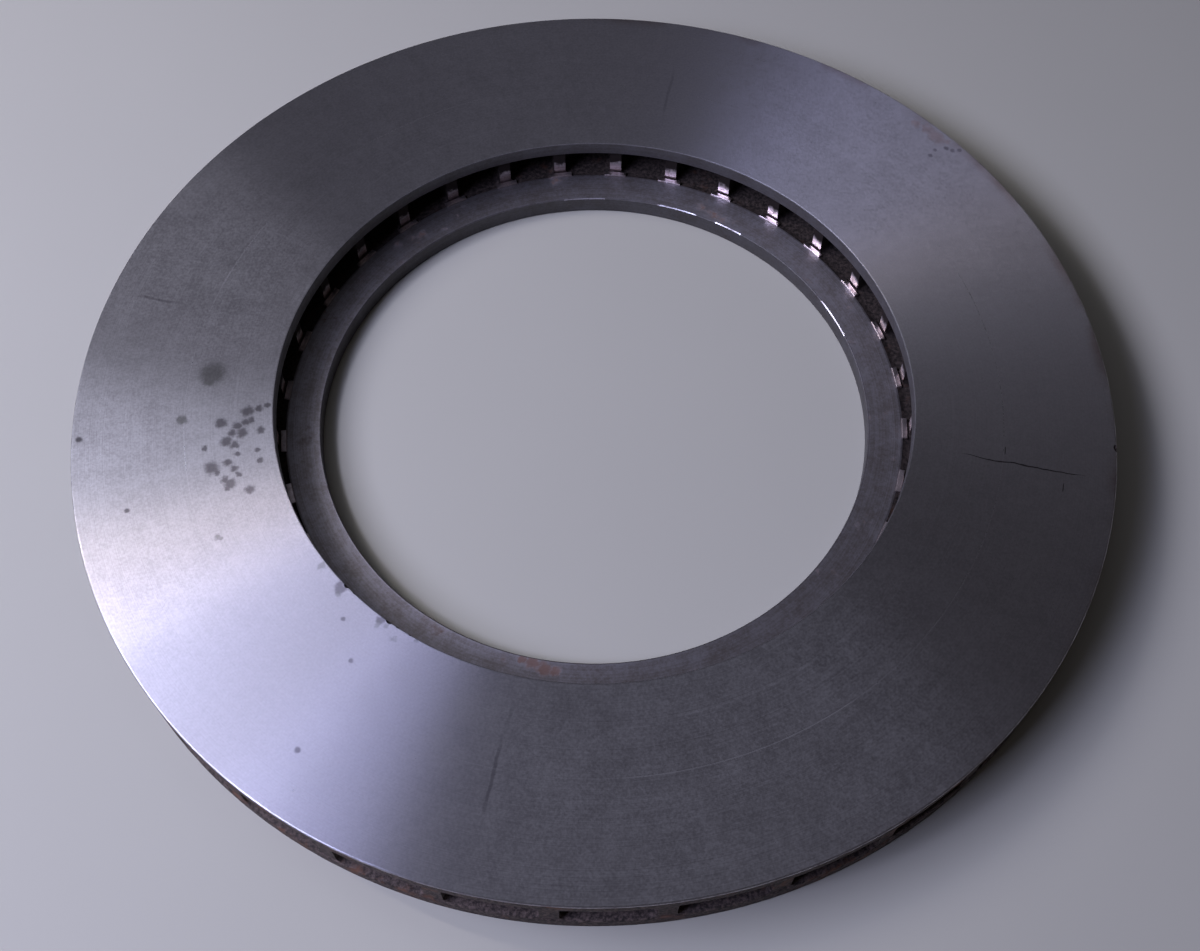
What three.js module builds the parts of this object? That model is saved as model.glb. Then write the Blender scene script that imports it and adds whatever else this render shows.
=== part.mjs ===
// The friction ring of a ventilated brake disc, with its hub bell machined away:
// two flat annular plates, held apart by radial cooling vanes with open channels between them.
// Millimetres, +Z up. The origin is on the ring's axis, in the plane of the lower friction face,
// and the first vane lies along +X.

import * as THREE from 'three';

// Driving dimensions
const outerDiameter = 228;
const overallThickness = 15;
const upperPlateBore = 141;
const ledgeBore = 124;
const ledgeDiameter = 139.4;
const ledgeHeight = 4.5;
const channelFloorHeight = 4;
const upperPlateThickness = 3.5;
const vaneCount = 32;
const vaneInnerRadius = 71.2;
const vaneInnerWidth = 2.8;
const vaneOuterWidth = 3.8;
const vaneFillet = 1.2;
const rimRelief = 0.3;
const edgeChamfer = 0.4;
const floorBlend = 1.2;

// Worked out from them
const outerRadius = outerDiameter / 2;
const channelRoofHeight = overallThickness - upperPlateThickness;
const vaneHeight = channelRoofHeight - channelFloorHeight;
const vaneLength = outerRadius - rimRelief - vaneInnerRadius;
const platedSegments = 128;
const filletSegments = 4;

const groundIron = new THREE.MeshStandardMaterial({
  name: 'ground_iron', color: 0x6b6a75, roughness: 0.38, metalness: 0.95,
});
const castIron = new THREE.MeshStandardMaterial({
  name: 'cast_iron', color: 0x3a302b, roughness: 0.85, metalness: 0.4,
});

// A closed profile of [radius, height] points, turned about the Z axis.
function turned(profile) {
  const outline = [...profile, profile[0]].map(([radius, height]) => new THREE.Vector2(radius, height));
  return new THREE.LatheGeometry(outline, platedSegments).rotateX(Math.PI / 2);
}

// The plate that carries the bell: a flat lower face, a rough channel floor,
// and inside it the turned ledge that is left where the bell was cut off.
function lowerPlateGeometry() {
  const bore = ledgeBore / 2;
  const ledgeEdge = ledgeDiameter / 2;
  return turned([
    [bore + edgeChamfer, 0],
    [outerRadius - edgeChamfer, 0],
    [outerRadius, edgeChamfer],
    [outerRadius, channelFloorHeight],
    [ledgeEdge + floorBlend, channelFloorHeight],
    [ledgeEdge, ledgeHeight],
    [bore + edgeChamfer, ledgeHeight],
    [bore, ledgeHeight - edgeChamfer],
    [bore, edgeChamfer],
  ]);
}

// The free plate: a plain flat ring with both of its top edges broken.
function upperPlateGeometry() {
  const bore = upperPlateBore / 2;
  return turned([
    [bore, channelRoofHeight],
    [outerRadius, channelRoofHeight],
    [outerRadius, overallThickness - edgeChamfer],
    [outerRadius - edgeChamfer, overallThickness],
    [bore + edgeChamfer, overallThickness],
    [bore, overallThickness - edgeChamfer],
  ]);
}

// A vane's section: an upright web that flares into the plates through a round fillet at each corner.
function vaneSection() {
  const half = vaneInnerWidth / 2;
  const reach = half + vaneFillet;
  const quarter = Math.PI / 2;
  const section = new THREE.Shape();
  section.moveTo(-reach, 0);
  section.lineTo(reach, 0);
  section.absarc(reach, vaneFillet, vaneFillet, -quarter, -2 * quarter, true);
  section.lineTo(half, vaneHeight - vaneFillet);
  section.absarc(reach, vaneHeight - vaneFillet, vaneFillet, 2 * quarter, quarter, true);
  section.lineTo(-reach, vaneHeight);
  section.absarc(-reach, vaneHeight - vaneFillet, vaneFillet, quarter, 0, true);
  section.lineTo(-half, vaneFillet);
  section.absarc(-reach, vaneFillet, vaneFillet, 0, -quarter, true);
  return section;
}

// The section runs outwards along +X and widens evenly from its inner end to the rim.
function vaneGeometry() {
  const geometry = new THREE.ExtrudeGeometry(vaneSection(), {
    depth: vaneLength, bevelEnabled: false, curveSegments: filletSegments,
  });
  const alongX = new THREE.Matrix4().makeBasis(
    new THREE.Vector3(0, 1, 0), new THREE.Vector3(0, 0, 1), new THREE.Vector3(1, 0, 0),
  );
  geometry.applyMatrix4(alongX);
  const position = geometry.attributes.position;
  const widening = vaneOuterWidth / vaneInnerWidth - 1;
  for (let i = 0; i < position.count; i += 1) {
    const share = position.getX(i) / vaneLength;
    position.setY(i, position.getY(i) * (1 + widening * share));
  }
  return geometry.translate(vaneInnerRadius, 0, channelFloorHeight);
}

function part(name, geometry, material) {
  const mesh = new THREE.Mesh(geometry, material);
  mesh.name = name;
  return mesh;
}

const brakeRing = new THREE.Group();
brakeRing.name = 'ventilated_brake_ring';
brakeRing.add(part('lower_friction_plate', lowerPlateGeometry(), groundIron));
brakeRing.add(part('upper_friction_plate', upperPlateGeometry(), groundIron));

const vane = vaneGeometry();
for (let index = 0; index < vaneCount; index += 1) {
  const number = String(index + 1).padStart(2, '0');
  const mesh = part(`cooling_vane_${number}`, vane, castIron);
  mesh.rotation.z = (index * 2 * Math.PI) / vaneCount;
  brakeRing.add(mesh);
}

export default brakeRing;
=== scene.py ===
import math
import random

import bmesh
import bpy
from mathutils import Matrix, Vector, noise


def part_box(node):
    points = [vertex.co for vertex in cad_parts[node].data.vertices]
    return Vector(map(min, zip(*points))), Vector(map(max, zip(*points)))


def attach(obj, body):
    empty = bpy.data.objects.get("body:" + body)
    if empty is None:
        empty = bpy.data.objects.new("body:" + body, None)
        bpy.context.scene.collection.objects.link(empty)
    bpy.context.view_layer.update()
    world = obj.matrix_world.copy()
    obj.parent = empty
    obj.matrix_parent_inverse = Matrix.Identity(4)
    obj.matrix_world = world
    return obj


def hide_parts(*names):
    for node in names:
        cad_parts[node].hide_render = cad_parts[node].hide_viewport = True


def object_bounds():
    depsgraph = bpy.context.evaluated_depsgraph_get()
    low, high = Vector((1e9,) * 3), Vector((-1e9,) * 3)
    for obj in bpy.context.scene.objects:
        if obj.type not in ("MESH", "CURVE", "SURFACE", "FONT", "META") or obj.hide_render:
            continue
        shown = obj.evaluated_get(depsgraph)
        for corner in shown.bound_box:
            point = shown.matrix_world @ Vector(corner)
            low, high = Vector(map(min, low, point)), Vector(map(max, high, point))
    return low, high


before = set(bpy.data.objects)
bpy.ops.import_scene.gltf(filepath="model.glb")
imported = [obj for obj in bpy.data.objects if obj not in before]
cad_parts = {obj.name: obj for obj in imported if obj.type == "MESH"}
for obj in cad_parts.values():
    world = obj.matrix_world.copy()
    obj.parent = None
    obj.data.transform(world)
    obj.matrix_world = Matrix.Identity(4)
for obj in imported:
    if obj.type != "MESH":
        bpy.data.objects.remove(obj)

cadLow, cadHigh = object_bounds()  # the CAD box, before anything is added
mm = 0.001
lowerNode = "lower_friction_plate"
upperNode = "upper_friction_plate"
vaneNodes = sorted(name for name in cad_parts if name.startswith("cooling_vane_"))


def radiiAt(nodeName, height=None):  # smallest and largest radius in mm, at one height if given
    points = [v.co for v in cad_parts[nodeName].data.vertices]
    near = [p for p in points if height is None or abs(p.z - height) < 0.01 * mm]
    radii = [math.hypot(p.x, p.y) / mm for p in near]
    return min(radii), max(radii)


# the ring's own sizes in mm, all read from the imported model
lowerBore, outerRadius = radiiAt(lowerNode)
upperBore = radiiAt(upperNode)[0]
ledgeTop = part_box(lowerNode)[1].z / mm
channelRoof, ringTop = (corner.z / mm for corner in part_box(upperNode))
vaneInner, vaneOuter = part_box(vaneNodes[0])[0].x / mm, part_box(vaneNodes[0])[1].x / mm
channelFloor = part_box(vaneNodes[0])[0].z / mm
ledgeOuter = radiiAt(lowerNode, ledgeTop * mm)[1]
floorInner = radiiAt(lowerNode, channelFloor * mm)[0]


def polar(radius, degrees, height=0.0):
    turn = math.radians(degrees)
    return Vector((radius * math.cos(turn), radius * math.sin(turn), height)) * mm


# small helpers for the node materials

def feed(tree, socket, value):
    if isinstance(value, bpy.types.NodeSocket):
        tree.links.new(value, socket)
    else:
        socket.default_value = value


def addNode(tree, kind, inputs, **settings):
    node = tree.nodes.new(kind)
    for key, value in settings.items():
        setattr(node, key, value)
    for key, value in inputs.items():
        feed(tree, node.inputs[key], value)
    return node


def calc(tree, operation, *values):
    return addNode(tree, "ShaderNodeMath", dict(enumerate(values)), operation=operation).outputs[0]


def vectorCalc(tree, operation, *values):
    node = addNode(tree, "ShaderNodeVectorMath", dict(enumerate(values)), operation=operation)
    return node.outputs["Value" if operation in ("LENGTH", "DISTANCE", "DOT_PRODUCT") else "Vector"]


def grain(tree, where, size, detail=3.0, roughness=0.55):  # noise with features about size mm across
    inputs = {"Vector": where, "Scale": 1 / (size * mm), "Detail": detail, "Roughness": roughness}
    return addNode(tree, "ShaderNodeTexNoise", inputs).outputs["Fac"]


def ease(tree, value, start, end, low=0.0, high=1.0):
    inputs = {"Value": value, "From Min": start, "From Max": end, "To Min": low, "To Max": high}
    return addNode(tree, "ShaderNodeMapRange", inputs, interpolation_type="SMOOTHSTEP").outputs["Result"]


def blendColours(tree, share, first, second):
    node = tree.nodes.new("ShaderNodeMix")
    node.data_type = "RGBA"
    feed(tree, node.inputs[0], share)
    feed(tree, node.inputs[6], first)
    feed(tree, node.inputs[7], second)
    return node.outputs[2]


def bump(tree, height, strength, distance, under=None):
    inputs = {"Height": height, "Strength": strength, "Distance": distance * mm}
    if under is not None:
        inputs["Normal"] = under
    return addNode(tree, "ShaderNodeBump", inputs).outputs["Normal"]


def newMaterial(name, **uniform):
    material = bpy.data.materials.new(name)
    material.use_nodes = True
    shader = material.node_tree.nodes["Principled BSDF"]
    for key, value in uniform.items():
        shader.inputs[key.replace("_", " ")].default_value = value
    return material, material.node_tree, shader


def ringPlace(tree):  # place, radius in mm, outward direction and the place along a turned line
    place = addNode(tree, "ShaderNodeTexCoord", {}).outputs["Object"]
    split = addNode(tree, "ShaderNodeSeparateXYZ", {0: place})
    flat = addNode(tree, "ShaderNodeCombineXYZ", {0: split.outputs["X"], 1: split.outputs["Y"]}).outputs[0]
    radius = vectorCalc(tree, "LENGTH", flat)
    outward = vectorCalc(tree, "NORMALIZE", flat)
    return place, radius, outward, split.outputs["Z"]


def turnedLines(tree, across, width, seed):  # soft lines of about width mm, running round the ring
    point = addNode(tree, "ShaderNodeCombineXYZ", {0: across, 1: seed}).outputs[0]
    return grain(tree, point, width, 2.0, 0.6)


# marks on the upper friction face, as (radius mm, angle in degrees, size mm)

faceMarks = {
    "stains": [(76.2, 178.4, 2.4), (73.7, 178.0, 1.5), (71.9, 177.5, 1.2), (81.8, 180.2, 2.2),
               (78.4, 181.0, 1.8), (76.5, 180.6, 1.8), (73.4, 182.4, 1.6), (79.6, 182.3, 1.6),
               (77.4, 182.4, 2.2), (80.9, 183.6, 2.2), (79.1, 184.5, 1.7), (78.7, 186.2, 1.2),
               (74.5, 186.2, 1.0), (74.3, 188.3, 1.3), (81.0, 187.4, 1.7), (84.5, 187.8, 2.9),
               (79.9, 188.7, 1.5), (79.2, 189.9, 1.3), (82.2, 190.3, 1.5), (81.4, 191.2, 2.2),
               (77.8, 193.2, 1.7), (85.5, 184.3, 1.2), (75.3, 180.2, 1.4), (83.7, 188.7, 1.2),
               (82.1, 191.9, 1.1), (71.9, 217.0, 2.2), (71.3, 216.4, 1.5), (71.3, 225.9, 1.7)],
    "oldStains": [(84.7, 171.2, 5.0), (85.2, 172.3, 3.0), (90.3, 179.0, 2.2), (87.1, 199.0, 1.5),
                  (86.5, 199.4, 1.1), (73.0, 217.4, 1.2), (71.8, 211.7, 1.6), (72.3, 226.0, 1.3),
                  (73.1, 229.6, 1.2), (71.5, 227.4, 1.1), (70.9, 232.9, 0.9)],
    "specks": [(103.2, 191.0, 1.0), (112.3, 180.4, 1.3), (101.6, 228.9, 1.2), (81.5, 226.7, 1.0),
               (76.0, 221.2, 0.9), (110.6, 31.7, 1.2), (111.2, 30.9, 1.1), (105.8, 32.1, 1.1),
               (108.0, 32.4, 0.9), (112.6, 30.4, 1.0)],
    "rustSpots": [(111.4, 34.0, 3.4), (111.1, 33.2, 2.4), (111.6, 35.4, 2.6), (111.1, 37.0, 2.2),
                  (112.4, 32.4, 1.6)],
    "shares": {"stains": 0.78, "oldStains": 0.62, "rustSpots": 0.38, "scratches": 0.85},
    "stainWander": 0.62,  # how far a blot's edge wanders, mm
    "scratches": [(71.0, 80.0, 99.0, 0.36), (251.0, 73.0, 84.0, 0.22), (250.8, 82.0, 101.0, 0.46),
                  (160.0, 95.0, 110.0, 0.34)],
    "scratchWidth": 0.5,
}


def blots(tree, place, spots, wander, height=ringTop):
    ripple = addNode(tree, "ShaderNodeTexNoise", {"Vector": place, "Scale": 900.0, "Detail": 3.0})
    drift = vectorCalc(tree, "SUBTRACT", ripple.outputs["Color"], (0.5, 0.5, 0.5))
    drift = vectorCalc(tree, "MULTIPLY", drift, (2.6 * wander * mm,) * 3)
    wandered = vectorCalc(tree, "ADD", place, drift)
    total = 0.0
    for radius, degrees, size in spots:
        apart = vectorCalc(tree, "DISTANCE", wandered, polar(radius, degrees, height))
        spot = ease(tree, apart, 0.80 * size * mm, 0.28 * size * mm)
        total = calc(tree, "MAXIMUM", spot, total)
    return total


def radialLine(tree, place, degrees, start, end, width):  # a thin wandering line along a radius
    turn = math.radians(degrees)
    along = vectorCalc(tree, "DOT_PRODUCT", place, (math.cos(turn), math.sin(turn), 0))
    aside = vectorCalc(tree, "DOT_PRODUCT", place, (-math.sin(turn), math.cos(turn), 0))
    wander = calc(tree, "MULTIPLY_ADD", grain(tree, place, 6.0), 1.2 * mm, -0.6 * mm)
    aside = calc(tree, "ABSOLUTE", calc(tree, "ADD", aside, wander))
    line = ease(tree, aside, width * mm, 0.3 * width * mm)
    line = calc(tree, "MULTIPLY", line, ease(tree, along, start * mm, (start + 6) * mm))
    return calc(tree, "MULTIPLY", line, ease(tree, along, end * mm, (end - 6) * mm))


# materials

groundIron = {
    "clean": (0.56, 0.545, 0.585, 1.0),
    "dull": (0.38, 0.365, 0.395, 1.0),
    "stain": (0.115, 0.105, 0.12, 1.0),
    "oldStain": (0.15, 0.15, 0.145, 1.0),
    "rust": (0.17, 0.085, 0.06, 1.0),
    "rustSpot": (0.34, 0.20, 0.165, 1.0),
    "rustAngle": 28,  # the side where the rim's edge has begun to rust, degrees
    "roughness": (0.27, 0.38),
    "anisotropic": 0.96,
    "lineWidth": 0.22,
    "bandWidth": 1.6,
}


def groundIronMaterial(name, marked):  # a ground friction face, with its rings of fine lines
    material, tree, shader = newMaterial(name, Metallic=1.0, Anisotropic=groundIron["anisotropic"])
    place, radius, outward, _ = ringPlace(tree)
    lines = turnedLines(tree, radius, groundIron["lineWidth"], 0.011)
    bands = turnedLines(tree, radius, groundIron["bandWidth"], 0.047)
    cloud = grain(tree, place, 9.0, 4.0, 0.6)
    mottle = grain(tree, place, 2.2, 3.0, 0.7)
    speckle = grain(tree, place, 0.55, 3.0, 0.7)
    arcs = ease(tree, turnedLines(tree, radius, 0.7, 0.083), 0.60, 0.70)
    arcs = calc(tree, "MULTIPLY", arcs, ease(tree, grain(tree, place, 30.0), 0.45, 0.60))
    dull = calc(tree, "MULTIPLY_ADD", lines, 0.45, calc(tree, "MULTIPLY", bands, 0.10))
    for layer, share in ((speckle, 0.60), (mottle, 0.30), (cloud, 0.28), (arcs, -0.22)):
        dull = calc(tree, "MULTIPLY_ADD", layer, share, dull)
    dull = ease(tree, dull, 0.55, 1.17)
    colour = blendColours(tree, dull, groundIron["clean"], groundIron["dull"])
    rimTint = calc(tree, "MULTIPLY", ease(tree, radius, (outerRadius - 3.2) * mm, outerRadius * mm),
                   ease(tree, grain(tree, place, 14.0), 0.40, 0.68, 0.0, 0.55))
    towardsRust = vectorCalc(tree, "DOT_PRODUCT", outward, polar(1 / mm, groundIron["rustAngle"]))
    rimTint = calc(tree, "MULTIPLY", rimTint, ease(tree, towardsRust, 0.2, 0.85))
    colour = blendColours(tree, rimTint, colour, groundIron["rust"])
    marksShare = 0.0
    if marked:
        stains = blots(tree, place, faceMarks["stains"], faceMarks["stainWander"])
        oldStains = blots(tree, place, faceMarks["oldStains"], 1.3 * faceMarks["stainWander"])
        specks = blots(tree, place, faceMarks["specks"], 0.4 * faceMarks["stainWander"])
        scratches = 0.0
        for degrees, start, end, strength in faceMarks["scratches"]:
            line = radialLine(tree, place, degrees, start, end, faceMarks["scratchWidth"])
            scratches = calc(tree, "MAXIMUM", calc(tree, "MULTIPLY", line, strength), scratches)
        rustSpots = blots(tree, place, faceMarks["rustSpots"], 2 * faceMarks["stainWander"])
        marksShare = calc(tree, "MAXIMUM", scratches, specks)
        for mark, kind, tone in ((stains, "stains", "stain"), (oldStains, "oldStains", "oldStain"),
                                 (rustSpots, "rustSpots", "rustSpot"), (marksShare, "scratches", "stain")):
            share = calc(tree, "MULTIPLY", mark, faceMarks["shares"][kind])
            colour = blendColours(tree, share, colour, groundIron[tone])
        marksShare = calc(tree, "MAXIMUM", marksShare, calc(tree, "MAXIMUM", stains, oldStains))
    feed(tree, shader.inputs["Base Color"], colour)
    smooth, coarse = groundIron["roughness"]
    rough = calc(tree, "MULTIPLY_ADD", dull, coarse - smooth, smooth)
    rough = calc(tree, "ADD", rough, calc(tree, "MULTIPLY", marksShare, 0.06))
    feed(tree, shader.inputs["Roughness"], rough)
    feed(tree, shader.inputs["Tangent"], outward)
    normal = bump(tree, lines, 0.35, 0.012)
    feed(tree, shader.inputs["Normal"], bump(tree, speckle, 0.25, 0.012, normal))
    return material


ledgeRust = [(63.1, 251.4, 2.6), (64.0, 253.8, 2.6), (64.2, 255.8, 2.0), (62.9, 249.3, 1.6)]

turnedIron = {
    "freshRust": (0.15, 0.07, 0.045, 1.0),
    "clean": (0.36, 0.345, 0.375, 1.0),
    "dull": (0.22, 0.195, 0.19, 1.0),
    "rust": (0.15, 0.085, 0.06, 1.0),
    "lineWidth": 0.35,
}


# lathe-cut faces; lift scales the colour (below 1 it paints shade into the colour) and bare is how metallic
# the clean parts are
def turnedIronMaterial(name, byHeight, rustShare, roughness, lift, bare, rustSpots=()):
    material, tree, shader = newMaterial(name, Metallic=1.0, Anisotropic=0.45)
    place, radius, outward, height = ringPlace(tree)
    lines = turnedLines(tree, height if byHeight else radius, turnedIron["lineWidth"], 0.023)
    cloud = grain(tree, place, 5.0, 4.0, 0.62)
    speckle = grain(tree, place, 0.7, 3.0, 0.7)
    dull = calc(tree, "MULTIPLY_ADD", lines, 0.5, calc(tree, "MULTIPLY", cloud, 0.6))
    dull = ease(tree, calc(tree, "MULTIPLY_ADD", speckle, 0.7, dull), 0.62, 1.16)
    colour = blendColours(tree, dull, turnedIron["clean"], turnedIron["dull"])
    rusty = ease(tree, grain(tree, place, 7.0, 5.0, 0.68), 0.62 - 0.3 * rustShare, 0.80 - 0.3 * rustShare)
    colour = blendColours(tree, rusty, colour, turnedIron["rust"])
    if rustSpots:
        spots = blots(tree, place, rustSpots, 0.9, ledgeTop)
        colour = blendColours(tree, calc(tree, "MULTIPLY", spots, 0.75), colour, turnedIron["freshRust"])
        rusty = calc(tree, "MAXIMUM", rusty, spots)
    colour = vectorCalc(tree, "MULTIPLY", colour, (lift,) * 3)
    feed(tree, shader.inputs["Base Color"], colour)
    feed(tree, shader.inputs["Roughness"], calc(tree, "MULTIPLY_ADD", rusty, 0.3, roughness))
    feed(tree, shader.inputs["Metallic"], calc(tree, "MULTIPLY_ADD", rusty, -0.7 * bare, bare))
    axis = (0.0, 0.0, 1.0) if byHeight else outward
    feed(tree, shader.inputs["Tangent"], axis)
    normal = bump(tree, lines, 0.4, 0.03)
    feed(tree, shader.inputs["Normal"], bump(tree, speckle, 0.3, 0.03, normal))
    return material


castSkin = {
    "dark": (0.030, 0.024, 0.022, 1.0),
    "brown": (0.165, 0.125, 0.110, 1.0),
    "rust": (0.17, 0.085, 0.055, 1.0),
}


def castSkinMaterial(name, rustShare, lift=1.0):  # sand-cast skin, dark with old rust, with painted shade deeper inside the channels
    material, tree, shader = newMaterial(name, Metallic=0.1, IOR=1.3)
    place, radius, _, _ = ringPlace(tree)
    patch = grain(tree, place, 6.0, 5.0, 0.65)
    sand = grain(tree, place, 0.8, 4.0, 0.7)
    colour = blendColours(tree, ease(tree, sand, 0.35, 0.7), castSkin["dark"], castSkin["brown"])
    rusty = ease(tree, patch, 0.66 - 0.25 * rustShare, 0.84 - 0.25 * rustShare)
    colour = blendColours(tree, rusty, colour, castSkin["rust"])
    paintedChannelShade = ease(tree, radius, 98 * mm, (outerRadius - 2) * mm, 0.42 * lift, lift)  # painted shade: darker deeper inside the channels, full colour near the rim
    paintedChannelShade = addNode(tree, "ShaderNodeCombineXYZ", {0: paintedChannelShade, 1: paintedChannelShade, 2: paintedChannelShade}).outputs[0]
    colour = vectorCalc(tree, "MULTIPLY", colour, paintedChannelShade)
    feed(tree, shader.inputs["Base Color"], colour)
    feed(tree, shader.inputs["Roughness"], calc(tree, "MULTIPLY_ADD", sand, 0.3, 0.6))
    normal = bump(tree, sand, 0.7, 0.18)
    feed(tree, shader.inputs["Normal"], bump(tree, patch, 0.4, 0.4, normal))
    return material


cutIron = {
    "clean": (0.74, 0.66, 0.66, 1.0),
    "dull": (0.42, 0.34, 0.33, 1.0),
    "rust": (0.16, 0.08, 0.055, 1.0),
    # skin is the painted shade colour for the cut ends' upper part, under the upper plate
    "skin": (0.022, 0.017, 0.016, 1.0),
    "shadeFrom": 6.5,  # height above which painted shade darkens the cut face, mm
}


def cutIronMaterial(name):  # freshly cut ends of the vanes, with painted shade over their upper part
    material, tree, shader = newMaterial(name, Metallic=1.0, Anisotropic=0.3, IOR=1.15)
    place, _, _, height = ringPlace(tree)
    lines = turnedLines(tree, height, 0.4, 0.031)
    cloud = grain(tree, place, 1.6, 4.0, 0.65)
    share = calc(tree, "MULTIPLY_ADD", lines, 0.5, calc(tree, "MULTIPLY", cloud, 0.7))
    share = ease(tree, share, 0.5, 0.85)
    colour = blendColours(tree, share, cutIron["clean"], cutIron["dull"])
    rusty = ease(tree, grain(tree, place, 1.1, 4.0, 0.7), 0.60, 0.74)
    colour = blendColours(tree, rusty, colour, cutIron["rust"])
    # painted shade: above shadeFrom the cut face turns dark, rough and dull
    climb = calc(tree, "MULTIPLY_ADD", cloud, 3.0 * mm, calc(tree, "SUBTRACT", height, 1.5 * mm))
    paintedUpperShade = ease(tree, climb, cutIron["shadeFrom"] * mm, (cutIron["shadeFrom"] + 1.8) * mm)
    colour = blendColours(tree, paintedUpperShade, colour, cutIron["skin"])
    feed(tree, shader.inputs["Base Color"], colour)
    feed(tree, shader.inputs["Metallic"], calc(tree, "SUBTRACT", 1.0, paintedUpperShade))
    rough = calc(tree, "MULTIPLY_ADD", share, 0.2, 0.3)
    feed(tree, shader.inputs["Roughness"], calc(tree, "MULTIPLY_ADD", paintedUpperShade, 0.35, rough))
    feed(tree, shader.inputs["Normal"], bump(tree, lines, 0.4, 0.03))
    return material


bareEdge = {
    "clean": (0.60, 0.58, 0.61, 1.0),
    "dull": (0.28, 0.25, 0.26, 1.0),
    "roughness": (0.32, 0.55),
}


def edgeIronMaterial(name):  # bare rounded edges, worn brighter than the faces beside them
    material, tree, shader = newMaterial(name, Metallic=1.0)
    place, _, _, _ = ringPlace(tree)
    wear = grain(tree, place, 3.0, 5.0, 0.7)
    colour = blendColours(tree, ease(tree, wear, 0.4, 0.66), bareEdge["clean"], bareEdge["dull"])
    feed(tree, shader.inputs["Base Color"], colour)
    feed(tree, shader.inputs["Roughness"], ease(tree, wear, 0.3, 0.7, *bareEdge["roughness"]))
    feed(tree, shader.inputs["Normal"], bump(tree, grain(tree, place, 0.6), 0.3, 0.03))
    return material


materials = {
    "upperFace": groundIronMaterial("groundUpperFace", True),
    "lowerFace": groundIronMaterial("groundLowerFace", False),
    "ledge": turnedIronMaterial("turnedLedge", False, rustShare=0.10, roughness=0.46, lift=1.0, bare=0.95,
                                rustSpots=ledgeRust),
    # the bore walls take the turned finish at lift 0.27: painted shade, darker than the lit ledge
    "innerWall": turnedIronMaterial("turnedInnerWallShaded", True, rustShare=0.0, roughness=0.55, lift=0.27,
                                    bare=0.3),
    "edge": edgeIronMaterial("bareEdge"),
    "skin": castSkinMaterial("castSkin", rustShare=0.35),
    "rim": castSkinMaterial("rustyRim", rustShare=0.45, lift=0.95),
    "cutEnd": cutIronMaterial("cutVaneEnd"),
    "crack": castSkinMaterial("crackWall", rustShare=0.1, lift=0.6),
}
print("materials ready:", len(materials))


# shared modelling steps

def turnRound(work, angle):  # turn a whole shape about the ring's axis, angle in radians
    bmesh.ops.rotate(work, verts=work.verts, cent=(0, 0, 0), matrix=Matrix.Rotation(angle, 3, "Z"))


def spinSection(corners, roundings, denseEdges, steps):
    # corners go round a closed section as (radius, height) in mm, roundings gives one size for each
    work = bmesh.new()
    work.faces.new([work.verts.new((radius * mm, 0.0, height * mm)) for radius, height in corners])
    for (radius, height), size in zip(corners, roundings):
        corner = min(work.verts, key=lambda v: (v.co - Vector((radius, 0.0, height)) * mm).length)
        if size > 0:
            bmesh.ops.bevel(work, geom=[corner], offset=size * mm, offset_type="OFFSET", segments=3,
                            profile=0.5, affect="VERTICES", material=-1)
    for matches, cuts in denseEdges:  # long edges that need points along them
        chosen = [e for e in work.edges
                  if matches((e.verts[0].co + e.verts[1].co) / 2 / mm, e.calc_length() / mm)]
        bmesh.ops.subdivide_edges(work, edges=chosen, cuts=cuts)
    bmesh.ops.delete(work, geom=work.faces[:], context="FACES_ONLY")
    bmesh.ops.spin(work, geom=work.verts[:] + work.edges[:], cent=(0, 0, 0), axis=(0, 0, 1), dvec=(0, 0, 0),
                   angle=math.tau, steps=steps, use_merge=True, use_duplicate=False)
    bmesh.ops.remove_doubles(work, verts=work.verts, dist=0.001 * mm)
    bmesh.ops.recalc_face_normals(work, faces=work.faces)
    return work


def faceMaterials(work, finishes, choose):  # choose names the finish of one face
    for face in work.faces:
        centre = face.calc_center_median() / mm
        finish = choose(centre, math.hypot(centre.x, centre.y), face.normal)
        face.material_index = finishes.index(finish)


def shadePiece(mesh, sharpAngle):  # smooth round the ring, but level faces stay truly flat
    mesh.shade_smooth()
    mesh.set_sharp_from_angle(angle=math.radians(sharpAngle))
    for polygon in mesh.polygons:
        polygon.use_smooth = abs(polygon.normal.z) < 0.99999


def finishPiece(work, name, used, sharpAngle):
    mesh = bpy.data.meshes.new(name)
    work.to_mesh(mesh)
    work.free()
    for key in used:
        mesh.materials.append(materials[key])
    shadePiece(mesh, sharpAngle)
    piece = bpy.data.objects.new(name, mesh)
    bpy.context.scene.collection.objects.link(piece)
    return piece


def castRelief(point, size, seed):  # smooth noise from -1 to 1 with features about size mm across
    return noise.fractal(point / (size * mm) + Vector((seed, -seed, 2 * seed)), 1.0, 2.0, 3)


def cutAway(piece, cutters):
    bpy.context.view_layer.update()
    for cutter in cutters:
        step = piece.modifiers.new("cut", "BOOLEAN")
        step.operation = "DIFFERENCE"
        step.solver = "EXACT"
        step.object = cutter
    done = bpy.data.meshes.new_from_object(piece.evaluated_get(bpy.context.evaluated_depsgraph_get()))
    piece.modifiers.clear()
    piece.data = done
    for cutter in cutters:
        bpy.data.objects.remove(cutter)


# the two plates

plates = {
    "steps": 384,
    "edgeRounding": 0.34,
    "boreRounding": 0.30,
    "castRelief": 0.11,  # height of the cast channel surface's waves, mm
    "rimPitting": 0.10,
    "burrHeight": 0.10,  # turned-over edge round the ledge's bore, mm
    "burrWidth": 0.22,
    "burrBase": 0.40,
    "burrSide": 50,  # the side where the burr is highest, degrees
    "burrLumps": [(63.5, 5.5, 1.0), (49.8, 3.8, 0.75), (17.5, 7.0, 0.6), (84.0, 9.0, 0.5)],
    "radialCuts": 34,
    "sharpAngle": 25,  # edges sharper than this many degrees stay crisp
}


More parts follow.
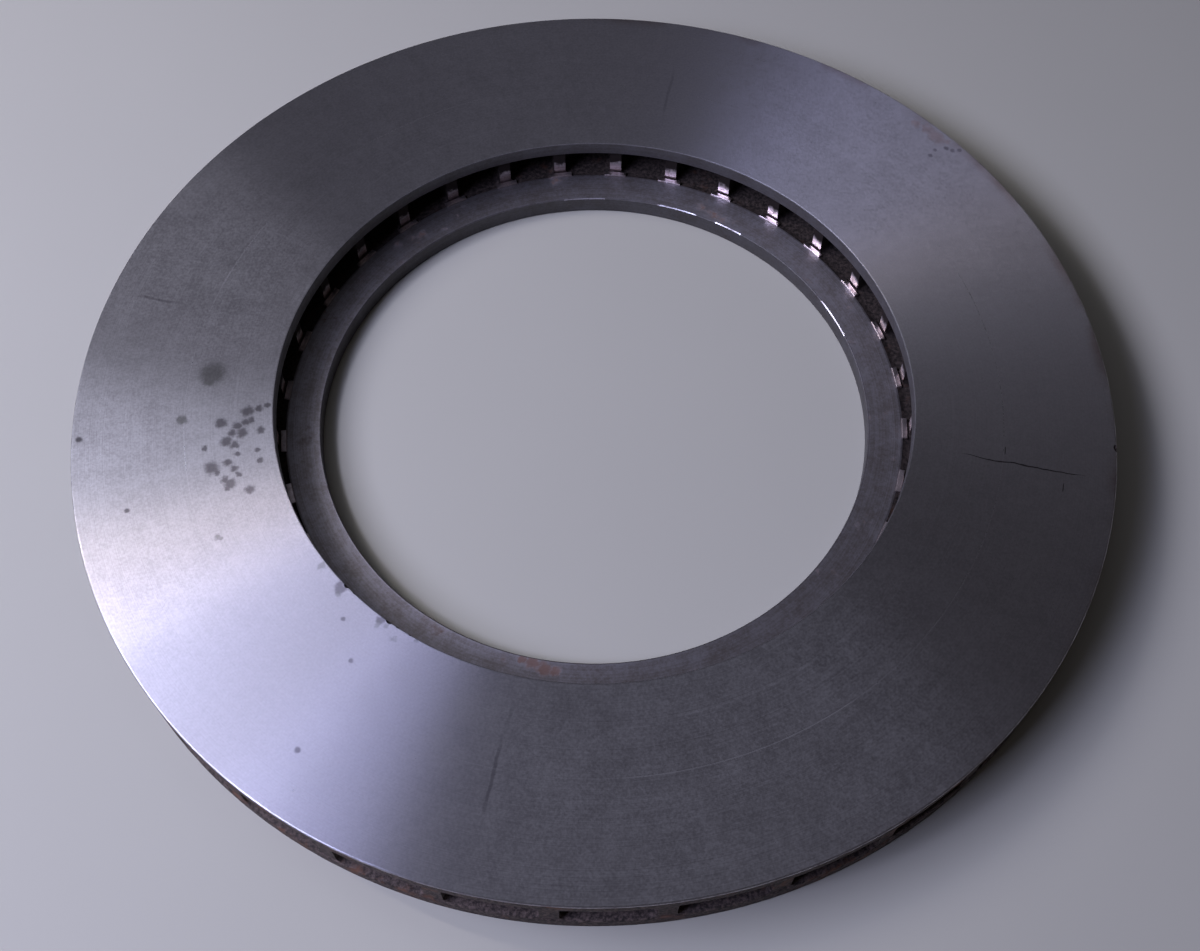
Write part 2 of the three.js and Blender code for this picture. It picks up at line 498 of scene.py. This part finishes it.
def relieve(work, low, high, seed):  # waves in the channel's cast surface and pits in the rim
    for vert in work.verts:
        radius = math.hypot(vert.co.x, vert.co.y) / mm
        height = vert.co.z / mm
        if low < height < high and floorInner + 1.0 < radius < outerRadius - 0.9:
            fade = min(1.0, (radius - floorInner - 1.0) / 2.0)
            vert.co.z += fade * plates["castRelief"] * castRelief(vert.co, 3.5, seed) * mm
        elif radius > outerRadius - 0.03:
            depth = plates["rimPitting"] * max(0.0, castRelief(vert.co, 1.8, seed + 3))
            vert.co.x *= 1 - depth / radius
            vert.co.y *= 1 - depth / radius


def burrShare(point):  # how high the burr stands here, from 0 to 1
    angle = math.degrees(math.atan2(point.y, point.x))
    share = plates["burrBase"] * (0.5 + 0.5 * math.cos(math.radians(angle - plates["burrSide"])))
    for middle, span, height in plates["burrLumps"]:
        share = max(share, height * min(1.0, 2.5 * max(0.0, 1 - abs(angle - middle) / span)))
    return min(1.0, max(0.0, share * (1 + 0.5 * castRelief(point, 3.0, 4.2))))


def lowerPlate():
    finishes = ["lowerFace", "ledge", "innerWall", "edge", "rim", "skin"]
    edge, bore = plates["edgeRounding"], plates["boreRounding"]
    burr = lowerBore + 0.16
    corners = [(lowerBore, 0), (outerRadius, 0), (outerRadius, channelFloor), (floorInner, channelFloor),
               (ledgeOuter, ledgeTop), (burr + plates["burrWidth"], ledgeTop),
               (burr + 0.05, ledgeTop + plates["burrHeight"]), (lowerBore, ledgeTop - 0.12)]
    dense = [(lambda middle, length: length > 30 and middle.z > 1, plates["radialCuts"]),
             (lambda middle, length: middle.x > outerRadius - 0.1 and length > 2, 4)]
    work = spinSection(corners, [bore, edge, 0.6, 0.5, 0.3, 0, 0, 0], dense, plates["steps"])
    relieve(work, channelFloor - 0.05, channelFloor + 0.05, 11.3)
    for vert in work.verts:  # the burr comes and goes round the bore
        if vert.co.z / mm > ledgeTop + 0.5 * plates["burrHeight"]:
            vert.co.z -= plates["burrHeight"] * mm * (1 - burrShare(vert.co))

    def choose(centre, radius, normal):
        if normal.z < -0.9 and centre.z < 0.05:
            return "lowerFace"
        if radius > outerRadius - 0.7 and normal.z < 0.9:
            return "rim" if abs(normal.z) < 0.3 or centre.z > 2 else "edge"
        if radius > ledgeOuter + 0.15 and centre.z > 2:
            return "skin"
        if abs(radius - lowerBore - 0.1) < 0.05 and centre.z > ledgeTop - 0.035:
            return "edge"
        if radius < lowerBore + 0.45 and centre.z > ledgeTop + 0.02:  # the burr
            return "edge"
        if radius < lowerBore + 0.11:
            return "innerWall"
        if centre.z > ledgeTop - 0.4 and normal.z > 0.3:
            return "ledge"
        return "edge"

    faceMaterials(work, finishes, choose)
    piece = finishPiece(work, "lowerPlate", finishes, plates["sharpAngle"])
    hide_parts(lowerNode)
    return piece


crack = {
    "angle": 340.3,
    "start": 81.0,
    "end": 107.5,
    "width": 0.38,
    "depth": 0.3,
    "jag": 0.32,
    "points": 26,
    "ticks": [(90.2, 342.0, 2.0), (103.0, 338.2, 2.2)],  # radius, angle, length across
    "nibbles": [(70.6, 217.3, 0.6), (70.5, 219.2, 0.4), (70.6, 227.2, 0.6), (70.5, 229.0, 0.4),
                (70.5, 231.5, 0.35)],  # chips out of the bore's top edge: radius, angle, size
    "rimNotch": (113.8, 344.6, 0.75),
}

upperFinishes = ["upperFace", "innerWall", "edge", "rim", "crack", "skin"]


def crackCutter(name, start, end, degrees, width, seed):  # a thin jagged blade standing in the face
    picks = random.Random(seed)
    work = bmesh.new()
    count = crack["points"]
    bmesh.ops.create_grid(work, x_segments=count, y_segments=1, size=0.5)
    alongCrack = sorted(work.verts, key=lambda v: v.co.x)
    drift = 0.0
    for i in range(count + 1):
        share = i / count
        drift += picks.uniform(-1, 1) * crack["jag"] * 0.6
        drift *= 0.86
        half = 0.5 * width * (0.12 + 0.88 * math.sin(math.pi * share) ** 0.7) * picks.uniform(0.7, 1.15)
        along = start + (end - start) * share
        for vert in alongCrack[2 * i:2 * i + 2]:
            aside = drift + math.copysign(half, vert.co.y)
            vert.co = Vector((along, aside, ringTop - crack["depth"])) * mm
    raised = bmesh.ops.extrude_face_region(work, geom=work.faces[:])["geom"]
    lifted = [item for item in raised if isinstance(item, bmesh.types.BMVert)]
    bmesh.ops.translate(work, verts=lifted, vec=(0, 0, (crack["depth"] + 0.4) * mm))
    turnRound(work, math.radians(degrees))
    bmesh.ops.recalc_face_normals(work, faces=work.faces)
    return cutterObject(work, name)


def chipCutter(name, radius, degrees, size, seed):
    work = bmesh.new()
    bmesh.ops.create_icosphere(work, subdivisions=2, radius=size * mm)
    for vert in work.verts:
        vert.co *= 1 + 0.25 * castRelief(vert.co, size, seed)
    bmesh.ops.scale(work, verts=work.verts, vec=(0.8, 1.3, 0.7))
    bmesh.ops.translate(work, verts=work.verts, vec=(radius * mm, 0, (ringTop + 0.15 * size) * mm))
    turnRound(work, math.radians(degrees))
    return cutterObject(work, name)


def cutterObject(work, name):  # its slots line up with the plate's, so a cut wall has the crack's finish
    crackSlot = upperFinishes.index("crack")
    for face in work.faces:
        face.material_index = crackSlot
    mesh = bpy.data.meshes.new(name)
    work.to_mesh(mesh)
    work.free()
    for _ in range(crackSlot + 1):
        mesh.materials.append(materials["crack"])
    cutter = bpy.data.objects.new(name, mesh)
    bpy.context.scene.collection.objects.link(cutter)
    return cutter


def upperPlate():
    edge, bore = plates["edgeRounding"], plates["boreRounding"]
    corners = [(upperBore, channelRoof), (outerRadius, channelRoof),
               (outerRadius, ringTop), (upperBore, ringTop)]
    dense = [(lambda middle, length: length > 30 and middle.z < channelRoof + 1, plates["radialCuts"]),
             (lambda middle, length: middle.x > outerRadius - 0.1 and length > 2, 4)]
    work = spinSection(corners, [bore, 0.6, edge, bore], dense, plates["steps"])
    relieve(work, channelRoof - 0.05, channelRoof + 0.05, 27.9)

    def choose(centre, radius, normal):
        if normal.z > 0.9 and centre.z > ringTop - 0.05:
            return "upperFace"
        if radius < upperBore + 0.1:
            return "innerWall"
        if normal.z > 0.1 or radius < upperBore + 1.0:
            return "edge"
        return "rim" if radius > outerRadius - 0.7 else "skin"

    faceMaterials(work, upperFinishes, choose)
    piece = finishPiece(work, "upperPlate", upperFinishes, plates["sharpAngle"])
    cutters = [crackCutter("crackBlade", crack["start"], crack["end"], crack["angle"], crack["width"], 7)]
    for number, (radius, degrees, length) in enumerate(crack["ticks"]):
        cutters.append(tickCutter(f"tickBlade{number}", radius, degrees, length))
    for number, (radius, degrees, size) in enumerate(crack["nibbles"] + [crack["rimNotch"]]):
        cutters.append(chipCutter(f"chip{number}", radius, degrees, size, 2.5 + number))
    cutAway(piece, cutters)
    shadePiece(piece.data, plates["sharpAngle"])
    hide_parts(upperNode)
    return piece


def tickCutter(name, radius, degrees, length):  # a short thin nick along the turned lines
    work = bmesh.new()
    bmesh.ops.create_cube(work, size=1.0)
    narrow = [e for e in work.edges if abs(e.verts[0].co.z - e.verts[1].co.z) > 0.5]
    bmesh.ops.bevel(work, geom=narrow, offset=0.3, offset_type="OFFSET", segments=2, profile=0.5,
                    affect="EDGES", material=-1)
    bmesh.ops.scale(work, verts=work.verts, vec=(0.2 * mm, length * mm, 0.4 * mm))
    bmesh.ops.translate(work, verts=work.verts, vec=(radius * mm, 0, ringTop * mm))
    turnRound(work, math.radians(degrees))
    return cutterObject(work, name)


# the cooling vanes

vane = {
    "innerHalf": 1.4,  # half the web's width at its inner end
    "outerHalf": 1.9,
    "fillet": 1.3,
    "sink": 0.25,  # how far each foot goes into its plate
    "cuts": 20,
    "toeWidth": 5.5,  # the cut foot in front of each vane
    "toeInner": 69.6,
    "toeDepth": 1.25,
    "toeHeight": 0.26,  # above the ledge
    "toeRounding": 0.12,
    "relief": 0.10,
    "sharpAngle": 35,
}


def withToe(work, number):  # a low bar of cut metal, a hair in front of the web's end
    picks = random.Random(40 + number)
    base, top = channelFloor - vane["sink"], ledgeTop + vane["toeHeight"]
    size = Vector((vane["toeDepth"], vane["toeWidth"] * picks.uniform(0.94, 1.05), top - base))
    made = bmesh.ops.create_cube(work, size=1.0)["verts"]
    bmesh.ops.scale(work, verts=made, vec=size * mm)
    centre = Vector((vane["toeInner"] + size.x / 2, picks.uniform(-0.12, 0.12), base + size.z / 2))
    bmesh.ops.translate(work, verts=made, vec=centre * mm)
    upright = {e for v in made for e in v.link_edges if min(v2.co.z for v2 in e.verts) > centre.z * mm}
    bmesh.ops.bevel(work, geom=list(upright), offset=vane["toeRounding"] * mm, offset_type="OFFSET",
                    segments=2, profile=0.5, affect="EDGES", material=-1)
    return work


def vanePiece(number, nodeName):
    web, foot, sink = vane["innerHalf"], vane["innerHalf"] + vane["fillet"], vane["sink"]
    low, high = channelFloor, channelRoof
    half = [(foot, low - sink), (foot, low), (web, low), (web, high), (foot, high), (foot, high + sink)]
    outline = half + [(-y, z) for y, z in reversed(half)]
    work = bmesh.new()
    work.faces.new([work.verts.new(Vector((vaneInner, y, z)) * mm) for y, z in outline])
    inside = [v for v in work.verts if abs(abs(v.co.y) - web * mm) < 0.01 * mm]
    bmesh.ops.bevel(work, geom=inside, offset=0.97 * vane["fillet"] * mm, offset_type="OFFSET", segments=5,
                    profile=0.5, affect="VERTICES", material=-1)
    drawn = bmesh.ops.extrude_face_region(work, geom=work.faces[:])["geom"]
    far = [item for item in drawn if isinstance(item, bmesh.types.BMVert)]
    bmesh.ops.translate(work, verts=far, vec=((vaneOuter - vaneInner) * mm, 0, 0))
    longEdges = [e for e in work.edges if abs(e.verts[0].co.x - e.verts[1].co.x) > 1 * mm]
    bmesh.ops.subdivide_edges(work, edges=longEdges, cuts=vane["cuts"], use_grid_fill=True)
    tall = [e for e in work.edges if abs(e.verts[0].co.z - e.verts[1].co.z) > 2 * mm]
    bmesh.ops.subdivide_edges(work, edges=tall, cuts=4, use_grid_fill=True)
    bmesh.ops.recalc_face_normals(work, faces=work.faces)
    for vert in work.verts:  # widen outwards, and let the cast sides wander
        share = (vert.co.x / mm - vaneInner) / (vaneOuter - vaneInner)
        vert.co.y *= 1 + share * (vane["outerHalf"] / vane["innerHalf"] - 1)
        if 0.01 < share < 0.99:
            wander = vane["relief"] * castRelief(vert.co, 4.0, 5.1 * number)
            vert.co.y += math.copysign(wander, vert.co.y) * mm
    work = withToe(work, number)

    def choose(centre, radius, normal):
        if centre.x < vaneInner + 0.02 and (normal.x < -0.5 or centre.x < vaneInner - 0.1):
            return "cutEnd"
        return "rim" if normal.x > 0.9 else "skin"

    finishes = ["skin", "cutEnd", "rim"]
    faceMaterials(work, finishes, choose)
    turnRound(work, math.tau * number / len(vaneNodes))
    piece = finishPiece(work, f"vane_{number + 1:02d}", finishes, vane["sharpAngle"])
    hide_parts(nodeName)
    return piece


upper = upperPlate()
lower = lowerPlate()
vanes = [vanePiece(number, nodeName) for number, nodeName in enumerate(vaneNodes)]
for piece, slotName in [(upper, "ground_iron"), (lower, "ground_iron")] + [(v, "cast_iron") for v in vanes]:
    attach(piece, "root")
print("plates and vanes ready:", 2 + len(vanes))


# the hidden CAD nodes keep a fitting finish too
for nodeName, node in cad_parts.items():
    node.data.materials.clear()
    node.data.materials.append(materials["skin" if nodeName in vaneNodes else "ledge"])


# the studio

studio = {
    "floorColour": (0.50, 0.49, 0.42),
    "floorSize": 6.0,
    "world": (1.0, 0.84, 0.80),
    "worldStrength": 0.022,
    "cameraPlace": (-20.92, -173.83, 280.27),
    "cameraForward": (0.06311, 0.4924, -0.86808),
    "cameraUp": (0.1058, 0.86161, 0.49642),
    "lens": 43.01,
}

# name, azimuth, elevation and distance in metres, width, height, power, colour
softboxes = [
    ("skyWindow", 184, 44, 0.75, 0.40, 0.24, 3.9, (0.71, 0.73, 1.0)),
    ("skyWindowEnd", 211, 44, 0.75, 0.24, 0.24, 2.1, (0.60, 0.63, 1.0)),
    ("windowEdge", 157, 43, 0.75, 0.02, 0.26, 0.65, (1.0, 0.90, 0.92)),
    ("rampNear", 148, 43, 0.75, 0.26, 0.24, 0.51, (0.82, 0.85, 1.0)),
    ("rampFar", 128, 43, 0.75, 0.36, 0.24, 0.15, (0.86, 0.87, 1.0)),
    ("ceiling", 120, 75, 1.8, 1.6, 1.6, 2.0, (0.76, 0.79, 1.0)),
]


def softbox(name, azimuth, elevation, distance, width, height, power, colour):
    turn, lift = math.radians(azimuth), math.radians(elevation)
    out = Vector((math.cos(turn) * math.cos(lift), math.sin(turn) * math.cos(lift), math.sin(lift)))
    data = bpy.data.lights.new(name, "AREA")
    data.shape = "RECTANGLE"
    data.size, data.size_y = width, height
    data.energy, data.color = power, colour
    light = bpy.data.objects.new(name, data)
    light.visible_camera = False
    light.location = out * distance
    light.rotation_euler = out.to_track_quat("Z", "Y").to_euler()
    bpy.context.scene.collection.objects.link(light)


def paleFloor():
    work = bmesh.new()
    bmesh.ops.create_grid(work, x_segments=1, y_segments=1, size=studio["floorSize"] / 2)
    bmesh.ops.translate(work, verts=work.verts, vec=(0, 0, cadLow.z - 0.02 * mm))
    mesh = bpy.data.meshes.new("floor")
    work.to_mesh(mesh)
    work.free()
    material, tree, shader = newMaterial("paleFloor", Roughness=0.75)
    place = addNode(tree, "ShaderNodeTexCoord", {}).outputs["Object"]
    base = studio["floorColour"]
    tone = blendColours(tree, grain(tree, place, 60.0), (*base, 1.0), (*(0.96 * c for c in base), 1.0))
    feed(tree, shader.inputs["Base Color"], tone)
    mesh.materials.append(material)
    floor = bpy.data.objects.new("floor", mesh)
    bpy.context.scene.collection.objects.link(floor)


def studioCamera():
    data = bpy.data.cameras.new("camera")
    data.lens, data.sensor_width = studio["lens"], 36.0
    data.clip_start, data.clip_end = 0.01, 20.0
    camera = bpy.data.objects.new("camera", data)
    back = -Vector(studio["cameraForward"]).normalized()
    right = Vector(studio["cameraUp"]).cross(back).normalized()
    turned = Matrix((right, back.cross(right), back)).transposed()
    camera.matrix_world = Matrix.Translation(Vector(studio["cameraPlace"]) * mm) @ turned.to_4x4()
    bpy.context.scene.collection.objects.link(camera)
    bpy.context.scene.camera = camera


paleFloor()
for box in softboxes:
    softbox(*box)
studioCamera()
world = bpy.data.worlds.new("studio")
bpy.context.scene.world = world
world.use_nodes = True
world.node_tree.nodes["Background"].inputs["Color"].default_value = (*studio["world"], 1.0)
world.node_tree.nodes["Background"].inputs["Strength"].default_value = studio["worldStrength"]
bpy.context.scene.view_settings.view_transform = "Standard"
print("studio ready")
